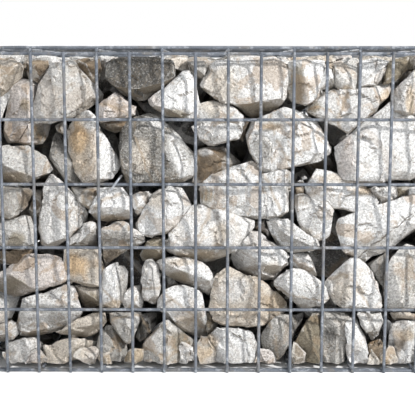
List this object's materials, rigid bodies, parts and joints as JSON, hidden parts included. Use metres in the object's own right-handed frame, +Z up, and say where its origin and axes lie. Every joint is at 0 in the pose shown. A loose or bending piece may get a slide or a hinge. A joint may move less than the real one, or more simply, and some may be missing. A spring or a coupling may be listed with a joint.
{
  "type": "gabion wall",
  "caption": "Low free-standing gabion wall: welded wire mesh baskets side by side, laced with helical binders, braced by wire ties and filled with broken quarry stone.",
  "frame": {"origin": "on the ground, under the middle of the wall", "axes": "+X along the wall, +Y through the wall from the front to the back, +Z up"},
  "size_m": [2.032, 0.3388, 0.5138],
  "materials": {
    "galvanised_wire": "hot-dip galvanised, dull",
    "quarry_stone": "rough broken limestone"
  },
  "bodies": {
    "root": {"front_mesh_left": "galvanised_wire", "front_mesh_right": "galvanised_wire", "back_mesh_left": "galvanised_wire", "back_mesh_right": "galvanised_wire", "lid_mesh_left": "galvanised_wire", "lid_mesh_right": "galvanised_wire", "base_mesh_left": "galvanised_wire", "base_mesh_right": "galvanised_wire", "end_mesh_left": "galvanised_wire", "end_mesh_right": "galvanised_wire", "partition_mesh": "galvanised_wire", "front_corner_binder_left": "galvanised_wire", "front_corner_binder_right": "galvanised_wire", "back_corner_binder_left": "galvanised_wire", "back_corner_binder_right": "galvanised_wire", "front_seam_binder": "galvanised_wire", "back_seam_binder": "galvanised_wire", "bracing_tie_left_1": "galvanised_wire", "bracing_tie_left_2": "galvanised_wire", "bracing_tie_right_1": "galvanised_wire", "bracing_tie_right_2": "galvanised_wire", "stone_fill_left": "quarry_stone", "stone_fill_right": "quarry_stone"}
  },
  "joints": []
}
